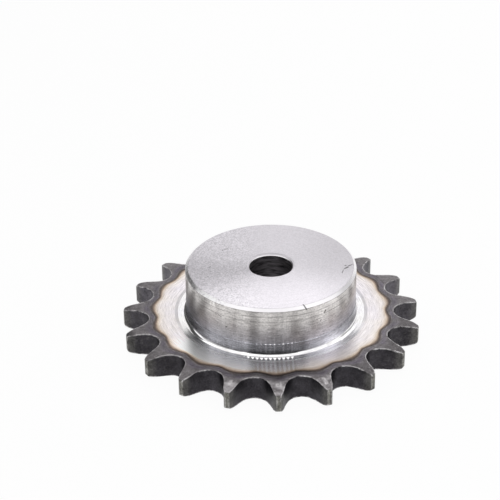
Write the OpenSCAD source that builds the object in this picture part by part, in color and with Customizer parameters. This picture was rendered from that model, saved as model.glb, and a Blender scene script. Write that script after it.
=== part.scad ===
// Chain sprocket with a hub on one side, turned, bored and hobbed from one steel blank.
// Z is the bore axis, with the hub towards +Z. The plate's mid-plane, where the chain
// runs, is Z = 0. The middle of one tooth points along -Y.

/* [Chain] */
// Pitch of the roller chain, from one roller's centre to the next
chain_pitch = 15.875; // [14:0.005:18]
// Diameter of the chain's rollers
roller_d = 10.16; // [9:0.01:11]
// Room that the seating curve leaves a roller, on its diameter
seat_clearance = 0.127; // [0.05:0.001:0.4]

/* [Teeth] */
// Number of teeth
teeth = 19; // [17:1:32]
// Stock turned off the nominal outside diameter, which widens the tips
tip_trim = 0.16; // [0:0.01:1.5]
// Thickness of the toothed plate
plate_t = 8.4; // [6:0.1:12]
// How much each side of a tooth is thinned at its tip, to guide the chain on
side_relief = 1.1; // [0.3:0.1:2]
// Radius of the turned arc that thins the sides
relief_r = 22; // [12:1:40]
// Radius that both rims of the tooth tips are turned to
tip_rim_r = 0.9; // [0.1:0.05:1.5]
// Radius that wear and deburring give the corners beside each tip
tip_corner_r = 0.75; // [0.1:0.05:0.8]

/* [Hub] */
// Overall length, from the plate's back to the hub's end
overall_l = 26.4; // [20:0.1:45]
// Diameter of the hub
hub_d = 59.5; // [40:0.5:66]
// Chamfer round the hub's end
hub_chamfer = 1; // [0.3:0.1:3]
// How far the collar at the hub's foot stands out from it
collar_step = 0.15; // [0.05:0.05:1]
// Straight length of that collar
collar_l = 2.9; // [0.5:0.1:6]
// Radius of the fillet from the collar to the plate
fillet_r = 1.6; // [0.5:0.1:3]
// Width of the flat floor that the facing tool leaves round that fillet
floor_w = 1.3; // [0.3:0.1:4]
// Depth of that floor below the plate's face
floor_depth = 0.15; // [0.05:0.01:0.4]
// Width of the slope from that floor up to the plate's face
slope_w = 1.1; // [0.3:0.1:3]

/* [Bore] */
// Diameter of the through bore
bore_d = 15; // [10:0.5:30]
// Chamfer at both ends of the bore
bore_chamfer = 0.8; // [0.3:0.1:2]

/* [Hidden] */
$fn = 96;
// Overlap of a cutting shape past the surface that it cuts
past = 1;

// The standard tooth form for roller chain. Its angles follow from the number of teeth,
// and its arcs from the roller. A point is given from the gap's own roller centre,
// with Y outwards along the gap's middle.
tooth_angle = 360 / teeth;
half_angle = tooth_angle / 2;
seat_angle = 35 + 60 / teeth;
working_angle = 18 - 56 / teeth;
topping_angle = 17 - 64 / teeth;
flat_angle = seat_angle - working_angle;
seat_share = 1.005;
tip_share = 0.6;
working_offset = 0.8 * roller_d;
topping_offset = 1.4 * roller_d;
// Each curve bites this far into the one before it, so that the two cross cleanly where
// a perfect tangent would only graze
bite = 0.005;

pitch_r = chain_pitch / 2 / sin(half_angle);
tip_r = (chain_pitch * (tip_share + 1 / tan(half_angle)) - tip_trim) / 2;

function toward(angle) = [cos(angle), sin(angle)];

seat_r = (seat_share * roller_d + seat_clearance) / 2;
seat_end = seat_r * toward(-seat_angle);
working_centre = -working_offset * toward(-seat_angle);
working_r = working_offset + seat_r - bite;
flat_start = working_centre + (working_r - bite) * toward(-flat_angle);
flat_l = topping_offset * sin(topping_angle) - working_offset * sin(working_angle);
flat_end = flat_start + flat_l * toward(90 - flat_angle);
topping_centre = topping_offset * toward(-half_angle);
topping_r = norm(flat_end - topping_centre) + bite;
mouth_half = tip_r * sin(half_angle);
mouth_top = tip_r - pitch_r + past;

// Where the topping curve and the outside circle meet, once both are set in by this much.
// The axis lies at shaft_place, seen from the gap's roller centre.
shaft_place = [0, -pitch_r];
topping_way = (topping_centre - shaft_place) / norm(topping_centre - shaft_place);
function meeting(inset) =
    let (
        apart = norm(topping_centre - shaft_place),
        from_shaft = tip_r - inset,
        from_topping = topping_r - inset,
        along = (pow(from_shaft, 2) - pow(from_topping, 2) + pow(apart, 2)) / (2 * apart),
        aside = sqrt(pow(from_shaft, 2) - pow(along, 2))
    )
    shaft_place + along * topping_way + aside * [-topping_way.y, topping_way.x];

// The corner beside a tip, which is rounded no more than half of the tip's width allows
tip_half = mouth_half - meeting(0).x;
corner_r = min(tip_corner_r, 0.8 * tip_half);
corner_centre = meeting(corner_r - bite);
corner_out = (corner_centre - shaft_place) / norm(corner_centre - shaft_place);
corner_side = (corner_centre - topping_centre) / norm(corner_centre - topping_centre);

// Heights and radii of the turned blank
face_z = plate_t / 2;
tip_z = face_z - side_relief;
hub_end_z = overall_l - face_z;
bore_r = bore_d / 2;
hub_r = hub_d / 2;
collar_r = hub_r + collar_step;
floor_z = face_z - floor_depth;
fillet_centre = [collar_r + fillet_r, floor_z + fillet_r];
slope_r = fillet_centre.x + floor_w;
collar_z = fillet_centre.y + collar_l;
relief_start = tip_r - sqrt(2 * relief_r * side_relief - pow(side_relief, 2));
relief_centre = [relief_start, face_z - relief_r];

// The round on the tips' upper rim, held to what the thinned tip allows. The lower rim
// mirrors it.
rim_r = min(tip_rim_r, 0.8 * tip_z);
rim_x = tip_r - rim_r + bite;
rim_rise = sqrt(pow(relief_r - rim_r + bite, 2) - pow(rim_x - relief_start, 2));
rim_centre = [rim_x, relief_centre.y + rim_rise];
rim_side = (rim_centre - relief_centre) / norm(rim_centre - relief_centre);

// One side of a tooth: the topping curve, less what rounds its corner beside the tip
module tooth_side() {
    difference() {
        translate(topping_centre) circle(topping_r);
        translate(corner_centre) difference() {
            polygon([[0, 0], 2 * corner_side, 2 * (corner_side + corner_out), 2 * corner_out]);
            circle(corner_r);
        }
    }
}

// The room beside one side of a seated roller: the working curve, a short flat and the
// topping curve, which rounds the tooth over to its tip
module flank_room() {
    difference() {
        union() {
            intersection() {
                translate(working_centre) circle(working_r);
                polygon([[0, 0], 3 * seat_end, 3 * flat_end]);
            }
            polygon([
                [0, 0],
                flat_start,
                flat_end,
                [mouth_half, flat_end.y],
                [mouth_half, mouth_top],
                [0, mouth_top]
            ]);
        }
        tooth_side();
    }
}

// One tooth gap, with the roller's seat round the origin
module tooth_gap() {
    circle(seat_r);
    flank_room();
    mirror([1, 0]) flank_room();
}

// What the round on the tips' upper rim takes off the section
module rim_corner() {
    translate(rim_centre) difference() {
        polygon([[0, 0], [2 * rim_r, 0], 2 * rim_r * (rim_side + [1, 0]), 2 * rim_r * rim_side]);
        circle(rim_r);
    }
}

// Half section of the thinned rim that the teeth are cut in, from X = relief_start out
module rim_section() {
    difference() {
        intersection() {
            translate(relief_centre) circle(relief_r);
            mirror([0, 1]) translate(relief_centre) circle(relief_r);
            translate([relief_start, -face_z - past]) square([tip_r - relief_start, plate_t + 2 * past]);
        }
        rim_corner();
        mirror([0, 1]) rim_corner();
    }
}

// Half section of the plate, the collar and the hub, with X as the radius
module body_section() {
    difference() {
        polygon([
            [bore_r + bore_chamfer, -face_z],
            [relief_start, -face_z],
            [relief_start, face_z],
            [slope_r + slope_w, face_z],
            [slope_r, floor_z],
            [fillet_centre.x, floor_z],
            fillet_centre,
            [collar_r, fillet_centre.y],
            [collar_r, collar_z],
            [hub_r, collar_z + collar_step],
            [hub_r, hub_end_z - hub_chamfer],
            [hub_r - hub_chamfer, hub_end_z],
            [bore_r + bore_chamfer, hub_end_z],
            [bore_r, hub_end_z - bore_chamfer],
            [bore_r, bore_chamfer - face_z]
        ]);
        translate(fillet_centre) circle(fillet_r);
    }
}

// The whole sprocket: the turned blank with a gap cut between each two teeth
module sprocket() {
    color("lightslategray") difference() {
        rotate_extrude() {
            body_section();
            rim_section();
        }
        for (i = [0 : teeth - 1])
            rotate(180 + (i + 0.5) * tooth_angle)
                translate([0, pitch_r, -face_z - past])
                    linear_extrude(plate_t + 2 * past) tooth_gap();
    }
}

sprocket();
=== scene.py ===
"""Dresses a machined steel chain sprocket and sets up its studio and camera.

The sprocket is one turned and hobbed piece. Its solid stays as it is, and this script
gives it the finishes that the machining and the hardening of the teeth left on it, with
some painted light laid into them: painted highlights, reflections and shade.
Lengths are in millimetres unless a name says otherwise, and angles are in degrees. A gain
is a share by which a place is lighter than the steel round it, a loss a share by which it
is darker, a grain how far a pattern goes both ways, and a share how much of a finish
shows.
"""

from __future__ import annotations

import logging
import math
from dataclasses import dataclass, field
from enum import Enum
from typing import Any, Mapping, Sequence, Union

import bmesh
import bpy
from mathutils import Matrix, Vector


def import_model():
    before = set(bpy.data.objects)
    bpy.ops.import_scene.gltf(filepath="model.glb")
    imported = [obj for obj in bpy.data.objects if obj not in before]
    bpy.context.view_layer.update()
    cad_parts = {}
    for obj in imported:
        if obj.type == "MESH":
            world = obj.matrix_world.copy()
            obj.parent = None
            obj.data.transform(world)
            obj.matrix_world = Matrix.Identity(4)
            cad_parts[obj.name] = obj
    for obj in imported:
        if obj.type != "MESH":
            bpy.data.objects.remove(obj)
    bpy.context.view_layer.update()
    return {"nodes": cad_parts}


LOG = logging.getLogger("sprocket")
MM = 0.001

Colour = tuple[float, float, float]
Value = Union[float, "Wire"]


def srgb(red: int, green: int, blue: int) -> Colour:
    """Turns a display colour into the linear one that a shader takes.

    Args:
        red: The red channel, from 0 to 255.
        green: The green channel, from 0 to 255.
        blue: The blue channel, from 0 to 255.

    Returns:
        The three linear channels, each from 0 to 1.
    """

    def linear(channel: float) -> float:
        """Undoes the display curve of one channel from 0 to 1."""
        return channel / 12.92 if channel <= 0.04045 else ((channel + 0.055) / 1.055) ** 2.4

    return (linear(red / 255), linear(green / 255), linear(blue / 255))


class Wire:
    """A shader's socket that takes part in Python arithmetic."""

    def __init__(self, board: "NodeBoard", socket: bpy.types.NodeSocket) -> None:
        """Keeps the socket and the board that its next nodes go on."""
        self.board = board
        self.socket = socket

    def __add__(self, other: Value) -> "Wire":
        """self + other."""
        return self.board.maths("ADD", self, other)

    def __radd__(self, other: Value) -> "Wire":
        """other + self."""
        return self.board.maths("ADD", other, self)

    def __sub__(self, other: Value) -> "Wire":
        """self - other."""
        return self.board.maths("SUBTRACT", self, other)

    def __rsub__(self, other: Value) -> "Wire":
        """other - self."""
        return self.board.maths("SUBTRACT", other, self)

    def __mul__(self, other: Value) -> "Wire":
        """self times other."""
        return self.board.maths("MULTIPLY", self, other)

    def __rmul__(self, other: Value) -> "Wire":
        """other times self."""
        return self.board.maths("MULTIPLY", other, self)

    def __truediv__(self, other: Value) -> "Wire":
        """self over other."""
        return self.board.maths("DIVIDE", self, other)

    def __rtruediv__(self, other: Value) -> "Wire":
        """other over self."""
        return self.board.maths("DIVIDE", other, self)

    def __pow__(self, other: Value) -> "Wire":
        """self to the power of other."""
        return self.board.maths("POWER", self, other)

    def __rpow__(self, other: Value) -> "Wire":
        """other to the power of self."""
        return self.board.maths("POWER", other, self)

    def size(self) -> "Wire":
        """The distance from zero."""
        return self.board.maths("ABSOLUTE", self)

    def whole(self) -> "Wire":
        """The whole number below."""
        return self.board.maths("FLOOR", self)

    def wave(self) -> "Wire":
        """The sine of this angle."""
        return self.board.maths("SINE", self * math.radians(1))

    def least(self, other: Value) -> "Wire":
        """The smaller of the two."""
        return self.board.maths("MINIMUM", self, other)

    def most(self, other: Value) -> "Wire":
        """The larger of the two."""
        return self.board.maths("MAXIMUM", self, other)

    def rise(self, low: Value, high: Value) -> "Wire":
        """Goes smoothly from 0 where this is low to 1 where it is high."""
        return self.board.span(self, low, high, 0.0, 1.0)

    def fall(self, low: Value, high: Value) -> "Wire":
        """Goes smoothly from 1 where this is low to 0 where it is high."""
        return self.board.span(self, low, high, 1.0, 0.0)

    def band(self, low: float, high: float, soft: float) -> "Wire":
        """Is 1 between low and high, with an edge of the given softness."""
        return self.rise(low - soft, low + soft) * self.fall(high - soft, high + soft)


class NodeBoard:
    """Makes and links the nodes of one material or world."""

    def __init__(self, tree: bpy.types.NodeTree) -> None:
        """Starts on an empty tree."""
        self.tree = tree
        tree.nodes.clear()

    def node(
        self,
        kind: str,
        settings: Mapping[str, Any] | None = None,
        inputs: Mapping[Union[int, str], Any] | None = None,
    ) -> bpy.types.Node:
        """Adds a node.

        Args:
            kind: The node's type, by its full name.
            settings: The node's own settings, and "stops" for the stops of a ramp.
            inputs: A number, colour, vector or link for each socket that gets one.

        Returns:
            The new node.
        """
        made = self.tree.nodes.new(kind)
        for name, value in (settings or {}).items():
            if name == "stops":
                self._set_stops(made, value)
            else:
                setattr(made, name, value)
        for name, value in (inputs or {}).items():
            self._feed(made.inputs[name], value)
        return made

    @staticmethod
    def _set_stops(ramp: bpy.types.Node, stops: Sequence[tuple[float, Colour]]) -> None:
        """Gives a ramp its stops, in order.

        Args:
            ramp: The ramp.
            stops: The place of each stop, from 0 to 1, and its colour.
        """
        elements = ramp.color_ramp.elements
        while len(elements) < len(stops):
            elements.new(1.0)
        for element, (place, colour) in zip(elements, stops):
            element.position = place
            element.color = (*colour, 1.0)

    def _feed(self, socket: bpy.types.NodeSocket, value: Any) -> None:
        """Links a wire to a socket, or sets the socket's own value.

        Args:
            socket: The socket.
            value: A wire, another socket, a number, a colour or a vector.
        """
        if isinstance(value, Wire):
            self.tree.links.new(value.socket, socket)
        elif isinstance(value, bpy.types.NodeSocket):
            self.tree.links.new(value, socket)
        elif socket.type == "RGBA" and len(value) == 3:
            socket.default_value = (*value, 1.0)
        else:
            socket.default_value = value

    def wire(self, made: bpy.types.Node, output: Union[int, str] = 0) -> Wire:
        """Wraps one output of a node."""
        return Wire(self, made.outputs[output])

    def finish(self, kind: str, shader: bpy.types.Node) -> None:
        """Ends the tree with an output node of the given kind, for the shader."""
        output = self.node(kind)
        self.tree.links.new(shader.outputs[0], output.inputs["Surface"])

    def maths(self, operation: str, *values: Value) -> Wire:
        """Adds a Math node on the given values."""
        made = self.node("ShaderNodeMath", {"operation": operation}, dict(enumerate(values)))
        return self.wire(made)

    def span(self, value: Value, low: Value, high: Value, start: float, end: float) -> Wire:
        """Maps low to high onto start to end, with a smooth step.

        Args:
            value: The value to map.
            low: Where the step begins.
            high: Where it ends.
            start: The result up to low.
            end: The result from high on.

        Returns:
            The mapped value.
        """
        made = self.node(
            "ShaderNodeMapRange",
            {"interpolation_type": "SMOOTHSTEP"},
            {0: value, 1: low, 2: high, 3: start, 4: end},
        )
        return self.wire(made)

    def noise(self, place: Any, scale: float, detail: float = 2.0, rough: float = 0.5) -> Wire:
        """Adds a noise pattern.

        Args:
            place: The wire or socket of the coordinates.
            scale: How many lumps there are to one unit of the coordinates.
            detail: How many finer layers lie on the first.
            rough: How strong those layers are.

        Returns:
            The pattern's value, from about -1 to 1.
        """
        made = self.node(
            "ShaderNodeTexNoise",
            None,
            {"Vector": place, "Scale": scale, "Detail": detail, "Roughness": rough},
        )
        return (self.wire(made, "Fac") - 0.5) * 2.0

    def vector(self, x: Value, y: Value, z: Value) -> Wire:
        """Joins three values into a vector."""
        return self.wire(self.node("ShaderNodeCombineXYZ", None, {0: x, 1: y, 2: z}))

    def vector_maths(self, operation: str, *values: Any, output: str = "Vector") -> Wire:
        """Adds a Vector Math node on the given vectors, and wraps its named output."""
        made = self.node("ShaderNodeVectorMath", {"operation": operation}, dict(enumerate(values)))
        return self.wire(made, output)

    def softened(self, reach: float, samples: int) -> Wire:
        """The surface's normal, with sharp edges rounded over this reach."""
        made = self.node("ShaderNodeBevel", {"samples": samples}, {"Radius": reach * MM})
        return self.wire(made)

    def tint(self, share: Value, under: Any, over: Any, mode: str = "MIX") -> Wire:
        """Lays one colour over another.

        Args:
            share: How much of the upper colour shows, from 0 to 1.
            under: The lower colour.
            over: The upper colour.
            mode: How the two combine.

        Returns:
            The colour that results.
        """
        made = self.node(
            "ShaderNodeMix",
            {"data_type": "RGBA", "blend_type": mode, "clamp_factor": True},
            {0: share, 6: under, 7: over},
        )
        return self.wire(made, 2)

    def blend(self, share: Value, low: Value, high: Value) -> Value:
        """Goes from the low value, where the share is 0, to the high one, where it is 1."""
        return (high - low) * share + low

    def grey(self, value: Value) -> Wire:
        """Makes a grey of the given level."""
        made = self.node("ShaderNodeCombineColor", None, {0: value, 1: value, 2: value})
        return self.wire(made)


@dataclass(frozen=True)
class Finish:
    """One finish of the steel: its colour and how rough it is."""

    colour: Colour
    roughness: float


@dataclass(frozen=True)
class Mark:
    """One short scratch, pit or painted highlight, placed by its middle.

    The middle and the heading are on the face that the mark lies on: x and y on a flat
    face, and the turn and the height on the hub's wall.
    """

    across: float
    along: float
    heading: float
    length: float
    width: float


@dataclass(frozen=True)
class Heat:
    """How the hardening tinted the steel at one distance from its dark line.

    The depth is measured from the line towards the teeth, and the tint multiplies the
    colour.
    """

    depth: float
    tint: Colour


@dataclass(frozen=True)
class Band:
    """An upright band of painted reflection on the hub's wall, painted lighter or darker.

    It reaches from the wall's foot up to its top.
    """

    turn: float
    half_width: float
    gain: float
    top: float = 30.0


class Ray(Enum):
    """The kinds of ray that see a white table."""

    CAMERA = "Is Camera Ray"
    GLOSSY = "Is Glossy Ray"
    TRANSMISSION = "Is Transmission Ray"


@dataclass(frozen=True)
class Sizes:
    """The sprocket's sizes, as the solid has them."""

    teeth: int = 19
    tip_r: float = 52.25
    hub_end_z: float = 22.2
    hub_r: float = 29.75
    hub_chamfer: float = 1.0
    collar_r: float = 29.9
    collar_z: float = 8.55
    floor_z: float = 4.05
    floor_start_r: float = 31.5
    slope_start_r: float = 32.8
    slope_end_r: float = 33.9
    bore_r: float = 7.5
    bore_chamfer: float = 0.8

    @property
    def tooth_degrees(self) -> float:
        """The angle from one tooth to the next."""
        return 360 / self.teeth

    @property
    def bore_rim_r(self) -> float:
        """The radius at which the bore's chamfer meets the hub's end."""
        return self.bore_r + self.bore_chamfer


class Spot:
    """Where a point of the surface lies.

    Its turn is counted from the front, where the middle of one tooth is, towards +X, and
    off_front is the same either way. Its tooth is 1 at a tooth's middle and 0 at a gap's.
    The masks are 1 on the face that they are named for and 0 elsewhere.
    """

    def __init__(self, board: NodeBoard, sizes: Sizes) -> None:
        """Works out the point's coordinates, and the masks of the faces.

        Args:
            board: The board that the nodes go on.
            sizes: The sprocket's sizes.
        """
        self.board = board
        source = board.node("ShaderNodeTexCoord")
        place = board.node("ShaderNodeSeparateXYZ", None, {0: board.wire(source, "Object")})
        self.x, self.y, self.z = (board.wire(place, axis) / MM for axis in range(3))
        self.radius = board.maths("SQRT", self.x * self.x + self.y * self.y)
        self.way_x = self.x / self.radius
        self.way_y = self.y / self.radius
        self.turn = board.maths("ARCTAN2", self.x, self.y * -1.0) * math.degrees(1)
        self.off_front = self.turn.size()
        pitches = self.turn / sizes.tooth_degrees + 0.5
        self.tooth = 1.0 - (pitches - pitches.whole() - 0.5).size() * 2.0

        facing = board.node("ShaderNodeSeparateXYZ", None, {0: board.wire(source, "Normal")})
        self.flat = board.wire(facing, 2).size().rise(0.55, 0.85)
        self.upper = self.z.rise(sizes.floor_z - 0.3, sizes.floor_z - 0.1)
        self.above_fillet = self.z.rise(sizes.floor_z + 0.7, sizes.floor_z + 1.1)
        within = self.radius.fall(sizes.collar_r + 0.7, sizes.collar_r + 1.1)
        self.on_hub = within * self.above_fillet
        rim_z = sizes.hub_end_z - sizes.hub_chamfer
        self.on_rim = self.z.rise(rim_z - 0.02, rim_z + 0.04)
        self.on_end = self.z.rise(sizes.hub_end_z - 0.08, sizes.hub_end_z - 0.02)

    def grain(self, scale: float, detail: float = 2.0, rough: float = 0.5) -> Wire:
        """An even grain, from about -1 to 1.

        Args:
            scale: How many lumps there are to a millimetre.
            detail: How many finer layers lie on the first.
            rough: How strong those layers are.

        Returns:
            The grain.
        """
        return self.board.noise(self.board.vector(self.x, self.y, self.z), scale, detail, rough)

    def lathe(self, around: float, along: float, detail: float = 2.0) -> Wire:
        """A grain drawn out round the axis, as a lathe tool leaves it, from about -1 to 1.

        Args:
            around: How many lumps there are to a radian of turn.
            along: How many there are to a millimetre of the tool's path.
            detail: How many finer layers lie on the first.

        Returns:
            The grain.
        """
        path = (self.radius + self.z) * along
        place = self.board.vector(self.way_x * around, self.way_y * around, path)
        return self.board.noise(place, 1.0, detail)

    def upright(self, around: float, along: float) -> Wire:
        """A grain drawn out along the axis, from about -1 to 1.

        Args:
            around: How many lumps there are to a radian of turn.
            along: How many there are to a millimetre of height.

        Returns:
            The grain.
        """
        place = self.board.vector(self.way_x * around, self.way_y * around, self.z * along)
        return self.board.noise(place, 1.0)

    def mark(self, mark: Mark, across: Wire, along: Wire) -> Wire:
        """Is 1 on a mark and 0 away from it.

        Args:
            mark: The mark.
            across: The point's first coordinate on the mark's face.
            along: The point's second coordinate there.

        Returns:
            The mark's mask.
        """
        heading = math.radians(mark.heading)
        right = across - mark.across
        ahead = along - mark.along
        lengthways = right * math.cos(heading) + ahead * math.sin(heading)
        sideways = ahead * math.cos(heading) - right * math.sin(heading)
        near = lengthways.size().fall(mark.length * 0.3, mark.length * 0.5)
        return near * sideways.size().fall(mark.width * 0.2, mark.width * 0.5)


class Coat:
    """A colour and a roughness that finishes are laid on, one over the other."""

    def __init__(self, board: NodeBoard, finish: Finish) -> None:
        """Starts from one finish all over.

        Args:
            board: The board that the nodes go on.
            finish: The finish to start from.
        """
        self.board = board
        self.colour: Any = finish.colour
        self.rough: Value = finish.roughness

    def lay(self, mask: Value, finish: Finish) -> None:
        """Lays a finish where the mask is 1."""
        self.colour = self.board.tint(mask, self.colour, finish.colour)
        self.rough = self.board.blend(mask, self.rough, finish.roughness)

    def filter(self, mask: Value, tint: Any) -> None:
        """Multiplies the colour by a tint where the mask is 1."""
        self.colour = self.board.tint(mask, self.colour, tint, "MULTIPLY")

    def lighten(self, share: Wire) -> None:
        """Makes the colour lighter by a share of itself, or darker if that is below 0."""
        self.filter(1.0, self.board.grey(share + 1.0))

    def darken(self, share: Wire) -> None:
        """Makes the colour darker by a share of itself."""
        self.filter(1.0, self.board.grey(1.0 - share))


@dataclass(frozen=True)
class Chatter:
    """The marks that the chattering tool left across the front of the plate and the hub.

    Streaks and scallops each reach from one x to another, and two of their ridges come to
    one pitch. The streaks are painted glints and reflections of the marks: they are strongest
    at the middle, and fall by the valley below 0 between their ridges.
    """

    pitch: float = 2.97
    start: float = -0.25
    middle: float = 0.9
    valley: float = 0.3
    streaks: tuple[float, float] = (-7.0, 6.6)
    scallops: tuple[float, float] = (-10.5, 6.6)

    def _zone(self, spot: Spot, reach: tuple[float, float]) -> Wire:
        """Is 1 at the front, across the given reach."""
        return spot.x.band(*reach, 0.7) * spot.y.fall(-20.0, -10.0)

    def _ridges(self, spot: Spot, to_pitch: float) -> Wire:
        """Goes from 0 to 1 and back with each ridge, given how many come to a pitch."""
        turned = (spot.x - self.start) * (360 * to_pitch / self.pitch)
        return (turned + 90.0).wave() * 0.5 + 0.5

    def painted_streaks(self, spot: Spot) -> Wire:
        """Is above 0 on the streaks' ridges and below it between them, as painted glints.

        Args:
            spot: Where the point lies.

        Returns:
            The streaks' strength.
        """
        uneven = spot.board.noise(spot.board.vector(spot.x * 1.3, 0.0, 0.0), 1.0) * 0.3
        uneven = uneven + (spot.x - self.middle).size().fall(1.0, 7.5) * 0.75 + 0.55
        every_other = self._ridges(spot, 1.0) * 0.9 + 0.55
        ridges = self._ridges(spot, 2.0) ** 3 * uneven * every_other
        return self._zone(spot, self.streaks) * (ridges - self.valley)

    def scalloped(self, spot: Spot) -> Wire:
        """Is 1 where the tool tilted the floor's inner edge outwards, in points.

        Args:
            spot: Where the point lies.

        Returns:
            The scallops' mask.
        """
        on_floor = spot.radius.rise(31.0, 31.3) * spot.upper
        point = self._ridges(spot, 2.0) - spot.radius.rise(30.8, 32.8)
        point = point - (spot.x + 1.0).size().rise(5.0, 11.0) * 0.5
        point = point.rise(-0.4, 0.3) * spot.radius.fall(31.9, 33.1)
        return self._zone(spot, self.scallops) * on_floor * point


@dataclass(frozen=True)
class PlateCoat:
    """The plate's turned face, and the slope, floor and fillet between it and the hub."""

    sizes: Sizes = Sizes()
    chatter: Chatter = Chatter()
    face: Finish = Finish((0.88, 0.84, 0.85), 0.27)
    slope: Finish = Finish((0.76, 0.74, 0.755), 0.32)
    # The floor and the fillet are painted near white as painted highlight, on smoother finishes.
    floor: Finish = Finish((0.98, 0.97, 0.98), 0.22)
    burnished_highlight: Finish = Finish((0.98, 0.97, 0.98), 0.12)
    cool: Colour = (0.965, 0.96, 1.0)
    warm: Colour = (1.0, 0.99, 0.955)
    # Painted light and shade on the plate: the slope lighter at the front and darker at the sides,
    # the face lighter at the front left and at the front, and the streaks as painted reflection.
    slope_front_painted_light: float = 0.56
    slope_side_painted_shade: float = 0.14
    front_left_painted_light: float = 0.15
    front_painted_light: float = 0.34
    streak_reflection_gain: float = 1.05
    broad_arc_grain: float = 0.12
    fine_arc_grain: float = 0.4

    def lay(self, spot: Spot, coat: Coat) -> None:
        """Lays the finishes on a coat that is the face's all over."""
        self._lay_foot(spot, coat)
        self._turn_face(spot, coat)

    def _lay_foot(self, spot: Spot, coat: Coat) -> None:
        """Lays the slope, the floor and the fillet round the hub, with painted light and shade.

        Args:
            spot: Where the point lies.
            coat: The coat that they are laid on.
        """
        sizes = self.sizes
        on_slope = spot.flat * spot.radius.band(sizes.slope_start_r, sizes.slope_end_r, 0.08)
        on_slope = on_slope * spot.upper
        coat.lay(on_slope, self.slope)
        # Painted light and shade: the slope is painted lighter at the front and darker at the
        # sides.
        near_front = spot.off_front.fall(60.0, 80.0)
        coat.lighten(on_slope * (near_front * self.slope_front_painted_light - self.slope_side_painted_shade))
        # Painted light: the face is painted lighter at the front left.
        front_left = spot.turn.band(-57.0, -34.0, 7.0) * spot.radius.band(33.0, 39.6, 0.8)
        coat.lighten(spot.upper * front_left * self.front_left_painted_light)
        # Painted highlight: the fillet and the floor are painted near white, brighter than the
        # face.
        low = spot.upper * (1.0 - spot.above_fillet)
        in_fillet = spot.radius.fall(sizes.slope_start_r - 0.1, sizes.slope_start_r)
        coat.lay(low * in_fillet, self.burnished_highlight)
        on_floor = spot.radius.band(sizes.floor_start_r - 0.1, sizes.slope_start_r, 0.1)
        coat.lay(low * on_floor, self.floor)

    def _turn_face(self, spot: Spot, coat: Coat) -> None:
        """Draws the lathe's arcs and the steel's faint tinge, with painted light across the front
        and the chatter there as painted reflection.

        Args:
            spot: Where the point lies.
            coat: The coat that they are laid on.
        """
        broad, fine = spot.lathe(2.0, 1.6), spot.lathe(9.0, 3.4, 4.0)
        coat.lighten(broad * self.broad_arc_grain + fine * self.fine_arc_grain)
        coat.filter(spot.flat, spot.board.tint(spot.grain(0.15) + 0.5, self.cool, self.warm))
        outside = spot.upper * spot.radius.rise(31.0, 31.4)
        # Painted light: the face is painted lighter across the front.
        coat.lighten(outside * spot.turn.band(-58.0, 10.0, 12.0) * self.front_painted_light)
        # Painted reflection: the streaks on the face stand for the fillet's glints mirrored in it.
        painted_streaks = self.chatter.painted_streaks(spot)
        coat.lighten(outside * spot.radius.fall(36.5, 41.5) * painted_streaks * self.streak_reflection_gain)


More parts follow.
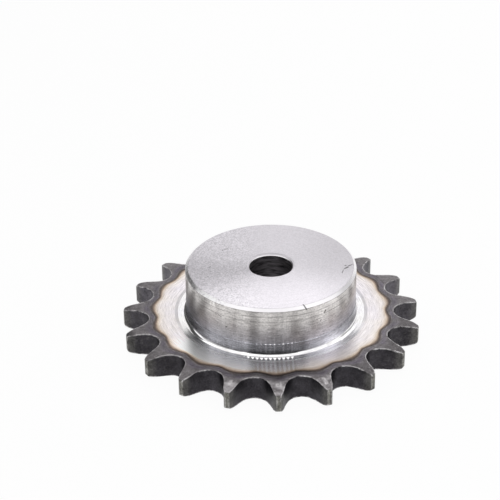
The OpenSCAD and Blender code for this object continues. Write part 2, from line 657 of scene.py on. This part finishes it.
@dataclass(frozen=True)
class HubCoat:
    """The hub's wall, rim, end and bore."""

    sizes: Sizes = Sizes()
    chatter: Chatter = Chatter()
    wall: Finish = Finish((0.67, 0.646, 0.632), 0.28)
    # The wall's foot and the collar are painted darker, as painted shade.
    wall_foot_shade: Finish = Finish((0.41, 0.404, 0.436), 0.28)
    collar: Finish = Finish((0.34, 0.34, 0.37), 0.24)
    # The rim's chamfer and the bore's edge are painted near white, as painted highlight.
    rim: Finish = Finish((0.95, 0.93, 0.95), 0.34)
    end_face: Finish = Finish((0.70, 0.675, 0.712), 0.42)
    bore_rim: Finish = Finish((0.75, 0.725, 0.76), 0.42)
    # The bore is painted dark, as painted shade inside the hole.
    bore: Finish = Finish((0.17, 0.16, 0.17), 0.45)
    # Painted reflections: each band paints the wall lighter or darker round its turn.
    bands: tuple[Band, ...] = (
        Band(-78.0, 7.0, 0.3),
        Band(-54.0, 9.0, -0.32),
        Band(-41.0, 8.0, 0.2),
        Band(-14.0, 6.0, -0.3),
        Band(10.0, 16.0, -0.16),
        Band(38.0, 13.0, 0.42),
        Band(-4.0, 42.0, -0.6, 7.0),
        Band(48.0, 23.0, 0.9, 7.0),
        Band(-58.0, 11.0, -0.35, 7.5),
        Band(-46.0, 7.0, 0.35, 6.0),
        Band(18.0, 6.0, -0.5, 10.5),
    )
    ring_heights: tuple[float, ...] = (21.05, 19.25, 17.2)
    ring_waver: float = 0.12
    ring_loss: float = 0.42
    broad_band_grain: float = 0.2
    fine_band_grain: float = 0.14
    turned_grain: float = 0.68
    wall_grain: float = 0.52
    # The ledge's highlight and the chatter's glints on the wall are painted highlights.
    ledge_highlight_gain: float = 0.7
    ledge_glint_gain: float = 1.7
    wall_glint_gain: float = 0.3
    # Painted light and shade: the end is painted darker at the left and the right and lighter at
    # the front.
    end_left_painted_shade: float = 0.06
    end_right_painted_shade: float = 0.1
    end_front_painted_light: float = 0.26
    end_grain: float = 0.22
    end_left_grain: float = 0.42
    end_arc_grain: float = 0.06
    rim_grain: float = 1.3
    nick_loss: float = 0.8
    scratch_loss: float = 0.7
    pit_loss: float = 0.75
    bore_ring_grain: float = 2.0
    bore_mouth_loss: float = 0.5
    rim_nick: Mark = Mark(9.9, -27.4, -45.0, 2.0, 0.6)
    end_marks: tuple[Mark, ...] = (
        Mark(24.5, -6.0, 74.0, 3.0, 0.4),
        Mark(25.4, -4.1, 45.0, 1.2, 0.6),
        Mark(26.2, -3.4, 42.0, 1.9, 1.0),
        Mark(27.2, -2.1, 35.0, 1.5, 0.8),
        Mark(28.0, -1.5, 45.0, 1.5, 0.4),
        Mark(25.8, -2.0, 20.0, 0.9, 0.7),
        Mark(-15.2, 11.9, 25.0, 1.9, 0.45),
        Mark(-16.4, 10.9, 100.0, 1.0, 0.4),
        Mark(-21.1, -0.4, 60.0, 0.9, 0.5),
    )
    wall_marks: tuple[Mark, ...] = (
        Mark(20.7, 20.9, -60.0, 1.1, 0.6),
        Mark(34.8, 17.7, 50.0, 1.7, 0.8),
        Mark(31.5, 14.8, 70.0, 1.0, 0.45),
        Mark(-38.0, 16.6, -20.0, 1.6, 0.4),
        Mark(-33.0, 13.2, 35.0, 1.2, 0.5),
    )

    def lay(self, spot: Spot, coat: Coat) -> None:
        """Lays the finishes from the wall's foot up, and the bore's last.

        Args:
            spot: Where the point lies.
            coat: The coat that they are laid on.
        """
        self._turn_wall(spot, coat)
        self._streak_wall(spot, coat)
        self._face_end(spot, coat)
        self._scratch(spot, coat)
        self._line_bore(spot, coat)

    def _turn_wall(self, spot: Spot, coat: Coat) -> None:
        """Lays the wall and its collar, with painted shade low down, upright bands of painted
        reflection, and their grain.

        Args:
            spot: Where the point lies.
            coat: The coat that they are laid on.
        """
        collar_z = self.sizes.collar_z
        coat.lay(spot.on_hub, self.wall)
        # Painted shade: the wall is painted darker towards its foot, and darkest on the collar.
        coat.lay(spot.on_hub * spot.z.fall(9.0, 18.0), self.wall_foot_shade)
        coat.lay(spot.on_hub * spot.z.fall(collar_z - 0.1, collar_z + 0.6), self.collar)
        broad, fine = spot.upright(7.0, 0.05), spot.upright(30.0, 0.12)
        drawn = broad * self.broad_band_grain + fine * self.fine_band_grain
        coat.lighten(spot.on_hub * drawn)
        # Painted reflections: the bands paint the wall lighter or darker round it.
        for band in self.bands:
            near = (spot.turn - band.turn).size().fall(0.0, band.half_width)
            below = spot.z.fall(band.top - 1.5, band.top + 1.5)
            coat.lighten(spot.on_hub * near * below * band.gain)
        turned, grain = spot.lathe(10.0, 3.0, 3.0), spot.grain(2.0, 3.0)
        coat.lighten(spot.on_hub * (turned * self.turned_grain + grain * self.wall_grain))

    def _streak_wall(self, spot: Spot, coat: Coat) -> None:
        """Paints highlights on the ledge above the collar and glints along the chatter, and draws
        the thin rings.

        Args:
            spot: Where the point lies.
            coat: The coat that they are laid on.
        """
        painted_streaks = self.chatter.painted_streaks(spot)
        # Painted highlight: the ledge above the collar is painted bright, most at the front and
        # along the chatter.
        ledge = (spot.z - self.sizes.collar_z - 0.08).size().fall(0.06, 0.24)
        near_front = spot.off_front.fall(14.0, 40.0)
        bright = painted_streaks * self.ledge_glint_gain + near_front * self.ledge_highlight_gain
        coat.lighten(spot.on_hub * ledge * bright)
        # Painted glints: the chatter's streaks low on the wall.
        coat.lighten(spot.on_hub * spot.z.fall(6.5, 14.0) * painted_streaks * self.wall_glint_gain)
        for height in self.ring_heights:
            off = spot.z - height + spot.lathe(6.0, 0.0) * self.ring_waver
            groove = off.size().fall(0.06, 0.24)
            broken = spot.lathe(11.0, 0.0).rise(-0.35, 0.1)
            coat.darken(spot.on_hub * groove * broken * self.ring_loss)

    def _face_end(self, spot: Spot, coat: Coat) -> None:
        """Lays the rims and the end face, with painted light and shade on them, the end's grain,
        and the rim's small nicks.

        Args:
            spot: Where the point lies.
            coat: The coat that they are laid on.
        """
        bore_rim_r = self.sizes.bore_rim_r
        # Painted highlight: the rim's chamfer is painted near white.
        coat.lay(spot.on_rim, self.rim)
        coat.lay(spot.radius.fall(bore_rim_r, bore_rim_r + 0.1), self.bore_rim)
        coat.lay(spot.on_end * spot.radius.rise(bore_rim_r - 0.1, bore_rim_r), self.end_face)
        # Painted light and shade: the end is painted darker at the left and the right and lighter
        # at the front.
        coat.darken(spot.on_end * spot.way_x.fall(-0.9, 0.1) * self.end_left_painted_shade)
        coat.lighten(spot.on_end * spot.y.fall(-24.0, 0.0) * self.end_front_painted_light)
        coat.darken(spot.on_end * spot.x.rise(8.0, 28.0) * self.end_right_painted_shade)
        strength = spot.x.fall(-14.0, 0.0) * self.end_left_grain + self.end_grain
        peel = spot.grain(2.0, 3.0) * strength
        coat.lighten(spot.on_end * (peel + spot.lathe(3.0, 1.2) * self.end_arc_grain))
        nicked = spot.z.rise(19.0, 20.4) * spot.radius.rise(28.4, 28.7)
        nicked = nicked * spot.turn.band(-105.0, -37.0, 7.0)
        coat.lighten(nicked * spot.grain(0.9, 4.0, 0.75) * self.rim_grain)

    def _scratch(self, spot: Spot, coat: Coat) -> None:
        """Draws the nick on the rim, and the scratches and pits on the end and the wall.

        Args:
            spot: Where the point lies.
            coat: The coat that they are laid on.
        """
        nick = spot.mark(self.rim_nick, spot.x, spot.y)
        coat.darken(spot.on_rim * nick * self.nick_loss)
        for mark in self.end_marks:
            coat.darken(spot.on_end * spot.mark(mark, spot.x, spot.y) * self.scratch_loss)
        arc = math.radians(1) * self.sizes.hub_r
        for mark in self.wall_marks:
            place = Mark(mark.across * arc, mark.along, mark.heading, mark.length, mark.width)
            pit = spot.mark(place, spot.turn * arc, spot.z)
            coat.darken(spot.on_hub * pit * self.pit_loss)

    def _line_bore(self, spot: Spot, coat: Coat) -> None:
        """Lays the bore painted dark as painted shade, with its rings, and the edge of its chamfer
        painted bright as painted highlight.

        Args:
            spot: Where the point lies.
            coat: The coat that they are laid on.
        """
        bore_r = self.sizes.bore_r
        in_bore = spot.radius.fall(bore_r + 0.02, bore_r + 0.06)
        # Painted shade: the bore is painted dark.
        coat.lay(in_bore, self.bore)
        rings = spot.lathe(2.0, 1.3, 3.0) * self.bore_ring_grain
        coat.lighten(in_bore * (rings - spot.z.rise(20.9, 21.4) * self.bore_mouth_loss))
        # Painted highlight: a thin bright ring on the edge of the bore's chamfer.
        edge = spot.radius.fall(bore_r + 0.1, bore_r + 0.25) * (1.0 - in_bore)
        coat.lay(edge, self.rim)


@dataclass(frozen=True)
class Hardened:
    """Where a point lies from the dark line that the hardening left.

    The depth is how far outside the line it lies. Scaled is 1 outside the line, and outer
    is 1 on the teeth's two faces, where they are clear of the heat's blue.
    """

    depth: Wire
    scaled: Wire
    outer: Wire


@dataclass(frozen=True)
class TeethCoat:
    """The hardened teeth: the heat's colours, the scale, bright flecks and edges, and painted
    highlights and shade.

    The heat's dark line runs round at heat_r and wavers by heat_waver. It steps out by
    heat_cusp at each tooth, more sharply with a higher heat_power, and stands heat_dip
    further in at the front.
    """

    sizes: Sizes = Sizes()
    scale: Finish = Finish(srgb(126, 122, 124), 0.46)
    blued: Finish = Finish(srgb(104, 98, 110), 0.42)
    gap: Finish = Finish(srgb(62, 60, 64), 0.46)
    tip: Finish = Finish(srgb(118, 117, 111), 0.42)
    # This finish serves both the wear and the painted highlights.
    wear_and_highlight: Finish = Finish((0.77, 0.745, 0.757), 0.34)
    bare_and_highlight: Finish = Finish((0.95, 0.94, 0.95), 0.34)
    heat_r: float = 40.2
    heat_cusp: float = 1.5
    heat_power: float = 1.6
    heat_dip: float = 0.45
    heat_waver: float = 0.35
    heat: tuple[Heat, ...] = (
        Heat(-4.5, (1.0, 1.0, 1.0)),
        Heat(-1.9, (0.985, 0.963, 0.912)),
        Heat(-0.7, (0.72, 0.635, 0.515)),
        Heat(-0.3, (0.386, 0.312, 0.24)),
        Heat(0.15, (0.130, 0.104, 0.088)),
        Heat(0.55, (0.112, 0.098, 0.094)),
        Heat(1.3, (0.216, 0.212, 0.211)),
    )
    blued_share: float = 0.75
    # Painted light: the gap walls are painted lighter towards the back.
    back_gap_painted_light: float = 1.3
    tip_rim_share: float = 0.35
    speckle_share: float = 0.18
    broad_mottle_grain: float = 0.75
    fine_mottle_grain: float = 0.9
    drawn_grain: float = 0.8
    gap_grain: float = 0.5
    # Painted shade: the scale beside the heat at the front, and the teeth on the front right.
    front_heat_painted_shade: float = 0.42
    front_right_painted_shade: float = 0.35
    # Painted highlight: the front teeth's broad patches and the listed patches.
    front_highlight_share: float = 0.5
    highlight_patch_share: float = 0.85
    fleck_share: float = 0.7
    # The edges are partly wear and partly painted highlight.
    edge_wear_highlight_share: float = 0.72
    bare_edge_highlight_share: float = 0.8
    highlight_patches: tuple[Mark, ...] = (
        Mark(0.2, -46.4, 90.0, 4.4, 2.6),
        Mark(0.2, -46.7, 0.0, 2.4, 1.8),
        Mark(-15.6, -44.6, 70.0, 3.8, 1.6),
        Mark(15.4, -45.2, 110.0, 4.6, 1.8),
    )

    def harden(self, spot: Spot) -> Hardened:
        """Works out where a point lies from the heat's dark line.

        Args:
            spot: Where the point lies.

        Returns:
            The depth, and the masks that follow from it.
        """
        cusp = (spot.tooth * 90.0).wave() ** self.heat_power * self.heat_cusp
        dip = spot.off_front.fall(12.0, 45.0) * self.heat_dip
        waver = spot.grain(0.3, 3.0) * self.heat_waver
        depth = spot.radius - self.heat_r - cusp + dip + waver
        wider = spot.off_front.rise(30.0, 60.0) * 0.15 + 1.0
        depth = depth / (spot.tooth * 0.6 + 0.8) * wider
        return Hardened(depth, depth.rise(0.0, 0.4), spot.flat * depth.rise(2.5, 4.0))

    def lay(self, spot: Spot, coat: Coat, hardened: Hardened, edges: Wire) -> None:
        """Lays the finishes in the order in which the teeth got them.

        Args:
            spot: Where the point lies.
            coat: The coat that they are laid on.
            hardened: Where the point lies from the heat's dark line.
            edges: A mask of the solid's sharp edges.
        """
        self._heat(coat, hardened.depth)
        self._scale_gaps(spot, coat, hardened)
        self._shade_faces(spot, coat, hardened)
        self._wear(spot, coat, hardened, edges)

    def _heat(self, coat: Coat, depth: Wire) -> None:
        """Lays the colours that the hardening left on both sides of its dark line.

        Args:
            coat: The coat that they are laid on.
            depth: How far outside the line the point lies.
        """
        start = self.heat[0].depth
        length = self.heat[-1].depth - start
        stops = [((step.depth - start) / length, step.tint) for step in self.heat]
        share = (depth - start) / length
        ramp = coat.board.node("ShaderNodeValToRGB", {"stops": stops}, {0: share})
        coat.filter(1.0, coat.board.wire(ramp))
        coat.lay(depth.rise(0.65, 1.4), self.scale)

    def _scale_gaps(self, spot: Spot, coat: Coat, hardened: Hardened) -> None:
        """Lays the blue outside the heat, the dark gaps, with painted light towards the back, and
        the greener tips, which reach further towards the sides.

        Args:
            spot: Where the point lies.
            coat: The coat that they are laid on.
            hardened: Where the point lies from the heat's dark line.
        """
        blue = hardened.depth.rise(0.8, 1.6) * hardened.depth.fall(1.9, 3.8)
        coat.lay(blue * spot.grain(0.25).rise(-0.5, 0.3) * self.blued_share, self.blued)
        steep = hardened.scaled * (1.0 - spot.flat)
        coat.lay(steep, self.gap)
        # Painted light: the gap walls are painted lighter towards the back.
        coat.lighten(steep * spot.off_front.rise(82.0, 112.0) * self.back_gap_painted_light)
        outside = spot.radius.rise(self.sizes.tip_r - 0.6, self.sizes.tip_r - 0.1)
        # The tips' lighter finish spreads further towards the sides.
        patchy = spot.grain(0.8, 3.0) + spot.off_front.rise(70.0, 100.0) * 0.5
        towards_tip = spot.radius.rise(48.5, 51.5) * self.tip_rim_share
        on_tip = (outside * patchy.rise(-0.55, 0.05)).most(towards_tip)
        coat.lay(steep * on_tip, self.tip)
        speckled = spot.off_front.band(50.0, 95.0, 8.0) * spot.grain(1.1, 4.0, 0.7).rise(-0.1, 0.4)
        coat.lay(steep * speckled * self.speckle_share, self.tip)

    def _shade_faces(self, spot: Spot, coat: Coat, hardened: Hardened) -> None:
        """Mottles the scale, and paints shade on it beside the heat at the front and on the front
        right.

        Args:
            spot: Where the point lies.
            coat: The coat that they are laid on.
            hardened: Where the point lies from the heat's dark line.
        """
        broad, fine = spot.grain(0.5, 4.0, 0.65), spot.grain(2.4, 3.0, 0.6)
        mottle = broad * self.broad_mottle_grain + fine * self.fine_mottle_grain
        drawn = hardened.depth.fall(1.5, 4.0) * spot.flat * spot.lathe(5.0, 2.6, 3.0)
        drawn = drawn * self.drawn_grain
        steep = (1.0 - spot.flat) * spot.grain(0.3) * self.gap_grain
        coat.lighten(hardened.scaled * (mottle + drawn + steep))
        # Painted shade: the scale beside the heat is painted darker at the front.
        beside_heat = hardened.scaled * spot.flat * hardened.depth.fall(1.3, 2.8)
        coat.darken(beside_heat * spot.off_front.fall(12.0, 30.0) * self.front_heat_painted_shade)
        # Painted shade: the teeth on the front right are painted darker.
        front_right = spot.turn.band(28.0, 82.0, 6.0)
        coat.darken(hardened.outer * front_right * self.front_right_painted_shade)

    def _wear(self, spot: Spot, coat: Coat, hardened: Hardened, edges: Wire) -> None:
        """Lays painted highlights on the front teeth, the bright flecks, and bright edges that are
        partly wear and partly painted highlight.

        Args:
            spot: Where the point lies.
            coat: The coat that they are laid on.
            hardened: Where the point lies from the heat's dark line.
            edges: A mask of the solid's sharp edges.
        """
        outer = hardened.outer
        # Painted highlight: the front teeth are painted bright in broad patches and in the listed
        # patches.
        broad = spot.grain(0.35, 3.0).rise(-0.25, 0.4) * spot.off_front.fall(24.0, 30.0)
        coat.lay(outer * broad * self.front_highlight_share, self.wear_and_highlight)
        for lit_patch in self.highlight_patches:
            blot = spot.mark(lit_patch, spot.x, spot.y) * spot.grain(0.9, 4.0, 0.75).rise(-0.35, 0.4)
            coat.lay(outer * blot * self.highlight_patch_share, self.wear_and_highlight)
        flecks = spot.grain(1.7, 3.0, 0.6).rise(0.22, 0.5)
        coat.lay(outer * flecks * self.fleck_share, self.wear_and_highlight)
        # Partly wear, partly painted highlight: the sharp edges are painted bright.
        edges = edges * hardened.scaled
        patchy = spot.grain(0.6, 3.0).rise(-0.3, 0.25)
        coat.lay(edges * patchy * self.edge_wear_highlight_share, self.wear_and_highlight)
        bright = spot.grain(0.35).rise(0.0, 0.25) * spot.grain(1.3).rise(-0.35, 0.3)
        coat.lay(edges * bright * self.bare_edge_highlight_share, self.bare_and_highlight)


@dataclass(frozen=True)
class Relief:
    """The surface's fine shape: tool marks, scale, soft edges and slightly tilted faces.

    The cone and the lip are slopes towards the axis, on the hub's end and on the bore's
    chamfer. The scallops and the fillet's foot tilt or level the normal by a share.
    """

    sizes: Sizes = Sizes()
    chatter: Chatter = Chatter()
    cone_slope: float = 0.12
    lip_slope: float = 1.1
    tool_depth: float = 0.004
    crust_depth: float = 0.05
    scallop_tilt: float = 0.55
    foot_level: float = 3.0

    def normal(self, spot: Spot, scaled: Wire, softened: Wire) -> Wire:
        """Works out the normal to shade with.

        Args:
            spot: Where the point lies.
            scaled: A mask of what the hardening scaled.
            softened: The normal with its sharp edges softened.

        Returns:
            The normal.
        """
        bump = spot.board.node(
            "ShaderNodeBump",
            None,
            {
                "Strength": 1.0,
                "Distance": MM,
                "Height": self._height(spot, scaled),
                "Normal": self._tilted(spot, softened),
            },
        )
        return spot.board.wire(bump)

    def _height(self, spot: Spot, scaled: Wire) -> Wire:
        """How far the fine shape stands above the solid.

        Args:
            spot: Where the point lies.
            scaled: A mask of what the hardening scaled.

        Returns:
            The height, in millimetres.
        """
        sizes = self.sizes
        cone = spot.on_end * spot.radius * -self.cone_slope
        tool = (1.0 - scaled) * (spot.lathe(5.0, 2.0, 3.0) * self.tool_depth)
        crust = scaled * (spot.grain(0.9, 4.0, 0.6) * self.crust_depth)
        lip = spot.radius.most(sizes.bore_r + 0.35).least(sizes.bore_rim_r) * -self.lip_slope
        return cone + tool + crust + lip

    def _tilted(self, spot: Spot, softened: Wire) -> Wire:
        """Tilts the normal outwards on the scallops, and up on the fillet's foot.

        Args:
            spot: Where the point lies.
            softened: The normal with its sharp edges softened.

        Returns:
            The tilted normal.
        """
        board = spot.board
        tilt = self.chatter.scalloped(spot) * self.scallop_tilt
        beside = spot.off_front.band(68.0, 110.0, 6.0) * spot.upper
        foot = beside * spot.radius.rise(30.45, 30.8) * (1.0 - spot.above_fillet)
        way = board.vector(spot.way_x * tilt, spot.way_y * tilt, foot * self.foot_level)
        return board.vector_maths("NORMALIZE", board.vector_maths("ADD", softened, way))


@dataclass(frozen=True)
class SteelCoat:
    """The whole sprocket's surface, from the bright hub to the scaled teeth.

    Sharp edges catch the light over edge_round, and wear reaches wear_reach from them; the bright
    edges are partly wear and partly painted highlight.
    """

    sizes: Sizes = Sizes()
    plate: PlateCoat = PlateCoat()
    hub: HubCoat = HubCoat()
    teeth: TeethCoat = TeethCoat()
    relief: Relief = Relief()
    edge_round: float = 0.15
    wear_reach: float = 0.7
    brushed: float = 0.6
    brush_turn: float = 0.25

    def make(self) -> bpy.types.Material:
        """Builds the material.

        Returns:
            The material, with its pattern on Object coordinates.
        """
        material = bpy.data.materials.new("machined_steel")
        material.use_nodes = True
        board = NodeBoard(material.node_tree)
        spot = Spot(board, self.sizes)
        hardened = self.teeth.harden(spot)
        coat = Coat(board, self.plate.face)
        self.plate.lay(spot, coat)
        self.hub.lay(spot, coat)
        self.teeth.lay(spot, coat, hardened, self._edges(board))
        softened = board.softened(self.edge_round, samples=4)
        shader = board.node(
            "ShaderNodeBsdfPrincipled",
            None,
            {
                "Base Color": coat.colour,
                "Metallic": 1.0,
                "Roughness": coat.rough,
                "Anisotropic": self.brushed,
                "Anisotropic Rotation": self.brush_turn,
                "Normal": self.relief.normal(spot, hardened.scaled, softened),
            },
        )
        board.finish("ShaderNodeOutputMaterial", shader)
        return material

    def _edges(self, board: NodeBoard) -> Wire:
        """Is 1 along the solid's sharp edges and 0 away from them.

        Args:
            board: The board that the nodes go on.

        Returns:
            The edges' mask.
        """
        blunted = board.softened(self.wear_reach, samples=6)
        facing = board.wire(board.node("ShaderNodeNewGeometry"), "Normal")
        alike = board.vector_maths("DOT_PRODUCT", blunted, facing, output="Value")
        return (1.0 - alike).rise(0.0, 0.06)


@dataclass(frozen=True)
class Card:
    """An upright card that shades part of the room from the sprocket.

    Its turn is measured from straight ahead of the camera, clockwise from above.
    """

    name: str
    turn: float
    distance: float
    width: float
    foot: float
    top: float
    grey: float

    def build(self) -> bpy.types.Object:
        """Makes the card.

        Returns:
            The card, which the camera doesn't see.
        """
        mesh = bpy.data.meshes.new(self.name)
        made = bmesh.new()
        upright = Matrix.Rotation(math.pi / 2, 4, "X")
        bmesh.ops.create_grid(made, x_segments=1, y_segments=1, size=0.5, matrix=upright)
        height = self.top - self.foot
        bmesh.ops.scale(made, vec=Vector((self.width, 1.0, height)) * MM, verts=made.verts)
        lift = Vector((0.0, self.distance, self.foot + height / 2)) * MM
        bmesh.ops.translate(made, vec=lift, verts=made.verts)
        round_about = Matrix.Rotation(-math.radians(self.turn), 4, "Z")
        bmesh.ops.transform(made, matrix=round_about, verts=made.verts)
        made.to_mesh(mesh)
        made.free()
        card = bpy.data.objects.new(self.name, mesh)
        card.visible_camera = False
        bpy.context.scene.collection.objects.link(card)
        mesh.materials.append(self._paint())
        return card

    def _paint(self) -> bpy.types.Material:
        """Paints the card its own grey.

        Returns:
            The card's material.
        """
        material = bpy.data.materials.new(self.name)
        material.use_nodes = True
        board = NodeBoard(material.node_tree)
        diffuse = board.node("ShaderNodeBsdfDiffuse", None, {"Color": (self.grey,) * 3})
        board.finish("ShaderNodeOutputMaterial", diffuse)
        return material


@dataclass
class Studio:
    """A white table in a white room, with a soft lamp overhead and some grey cards.

    The room darkens from its walls to ceiling_level over the heights in ceiling_span,
    which are the sines of the angles above the horizon.
    """

    table_z: float = -4.2
    table_half: float = 1500.0
    table_grey: float = 0.88
    table_glow: float = 0.95
    lamp_place: tuple[float, float, float] = (0.0, -250.0, 450.0)
    lamp_size: tuple[float, float] = (1000.0, 1500.0)
    lamp_level: float = 0.3
    ceiling_level: float = 0.8
    ceiling_span: tuple[float, float] = (0.55, 0.9)
    cards: tuple[Card, ...] = (
        Card("front_card", 180.0, 600.0, 760.0, 0.0, 470.0, 0.08),
        Card("back_left_card", -42.5, 420.0, 400.0, 0.0, 465.0, 0.08),
        Card("left_card", -112.0, 480.0, 560.0, 0.0, 300.0, 0.55),
        Card("right_card", 62.0, 480.0, 400.0, 110.0, 330.0, 0.55),
    )

    def build(self) -> None:
        """Makes the table, the cards and the light."""
        self._lay_table()
        for card in self.cards:
            card.build()
        self._hang_lamp()
        self._light_room()

    def _lay_table(self) -> None:
        """Lays a white table top under the sprocket."""
        mesh = bpy.data.meshes.new("table")
        made = bmesh.new()
        down = Matrix.Translation((0.0, 0.0, self.table_z * MM))
        size = self.table_half * MM
        bmesh.ops.create_grid(made, x_segments=1, y_segments=1, size=size, matrix=down)
        made.to_mesh(mesh)
        made.free()
        table = bpy.data.objects.new("table", mesh)
        bpy.context.scene.collection.objects.link(table)
        mesh.materials.append(self._table_paint())

    def _table_paint(self) -> bpy.types.Material:
        """Paints the table white, with a faint shadow left on it.

        Returns:
            The table's material.
        """
        material = bpy.data.materials.new("white_table")
        material.use_nodes = True
        board = NodeBoard(material.node_tree)
        path = board.node("ShaderNodeLightPath")
        seen: Value = 0.0
        for ray in Ray:
            seen = board.wire(path, ray.value).most(seen)
        diffuse = board.node("ShaderNodeBsdfDiffuse", None, {"Color": (self.table_grey,) * 3})
        glow = board.node("ShaderNodeEmission", None, {"Strength": 1.0})
        mixed = board.node(
            "ShaderNodeMixShader",
            None,
            {0: seen * self.table_glow, 1: diffuse.outputs[0], 2: glow.outputs[0]},
        )
        board.finish("ShaderNodeOutputMaterial", mixed)
        return material

    def _hang_lamp(self) -> None:
        """Hangs a wide soft lamp over the table."""
        lamp = bpy.data.lights.new("overhead_lamp", "AREA")
        lamp.shape = "RECTANGLE"
        lamp.size = self.lamp_size[0] * MM
        lamp.size_y = self.lamp_size[1] * MM
        lamp.energy = self.lamp_level * math.pi * lamp.size * lamp.size_y
        hung = bpy.data.objects.new("overhead_lamp", lamp)
        hung.location = Vector(self.lamp_place) * MM
        bpy.context.scene.collection.objects.link(hung)

    def _light_room(self) -> None:
        """Lights the white room evenly, with a slightly darker ceiling."""
        world = bpy.data.worlds.new("room")
        bpy.context.scene.world = world
        world.use_nodes = True
        board = NodeBoard(world.node_tree)
        source = board.node("ShaderNodeTexCoord")
        way = board.node("ShaderNodeSeparateXYZ", None, {0: board.wire(source, "Generated")})
        level = board.span(board.wire(way, 2), *self.ceiling_span, 1.0, self.ceiling_level)
        white = board.node("ShaderNodeBackground", None, {"Color": (1, 1, 1), "Strength": level})
        board.finish("ShaderNodeOutputWorld", white)
        bpy.context.scene.view_settings.view_transform = "Standard"


@dataclass(frozen=True)
class Viewpoint:
    """The place that the sprocket is seen from, and the camera's two directions."""

    place: tuple[float, float, float] = (-22.39, -481.72, 303.75)
    ahead: tuple[float, float, float] = (0.02747, 0.86777, -0.49621)
    upward: tuple[float, float, float] = (0.02823, 0.49553, 0.86813)
    lens: float = 115.88
    sensor: float = 36.0
    nearest: float = 10.0
    farthest: float = 20000.0

    def build(self) -> bpy.types.Object:
        """Sets up the camera.

        Returns:
            The camera, as the scene's own.
        """
        data = bpy.data.cameras.new("camera")
        data.lens = self.lens
        data.sensor_width = self.sensor
        data.clip_start = self.nearest * MM
        data.clip_end = self.farthest * MM
        camera = bpy.data.objects.new("camera", data)
        bpy.context.scene.collection.objects.link(camera)
        back = -Vector(self.ahead).normalized()
        right = Vector(self.upward).cross(back).normalized()
        up = back.cross(right)
        turned = Matrix((right, up, back)).transposed().to_4x4()
        camera.matrix_world = Matrix.Translation(Vector(self.place) * MM) @ turned
        bpy.context.scene.camera = camera
        return camera


@dataclass
class Sprocket:
    """The sprocket: one steel solid."""

    node: str = "sprocket"
    coat: SteelCoat = field(default_factory=SteelCoat)

    def dress(self, nodes: Mapping[str, bpy.types.Object]) -> bpy.types.Object:
        """Gives the solid its finish.

        Args:
            nodes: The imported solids, by name.

        Returns:
            The dressed solid.
        """
        solid = nodes[self.node]
        steel = self.coat.make()
        if not solid.material_slots:
            solid.data.materials.append(steel)
        for slot in solid.material_slots:
            slot.material = steel
        return solid


def main() -> None:
    """Builds the scene."""
    logging.basicConfig(level=logging.INFO, format="%(name)s: %(message)s")
    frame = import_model()
    Viewpoint().build()
    solid = Sprocket().dress(frame["nodes"])
    LOG.info("dressed %s, %d faces", solid.name, len(solid.data.polygons))
    Studio().build()


if __name__ == "__main__":
    main()
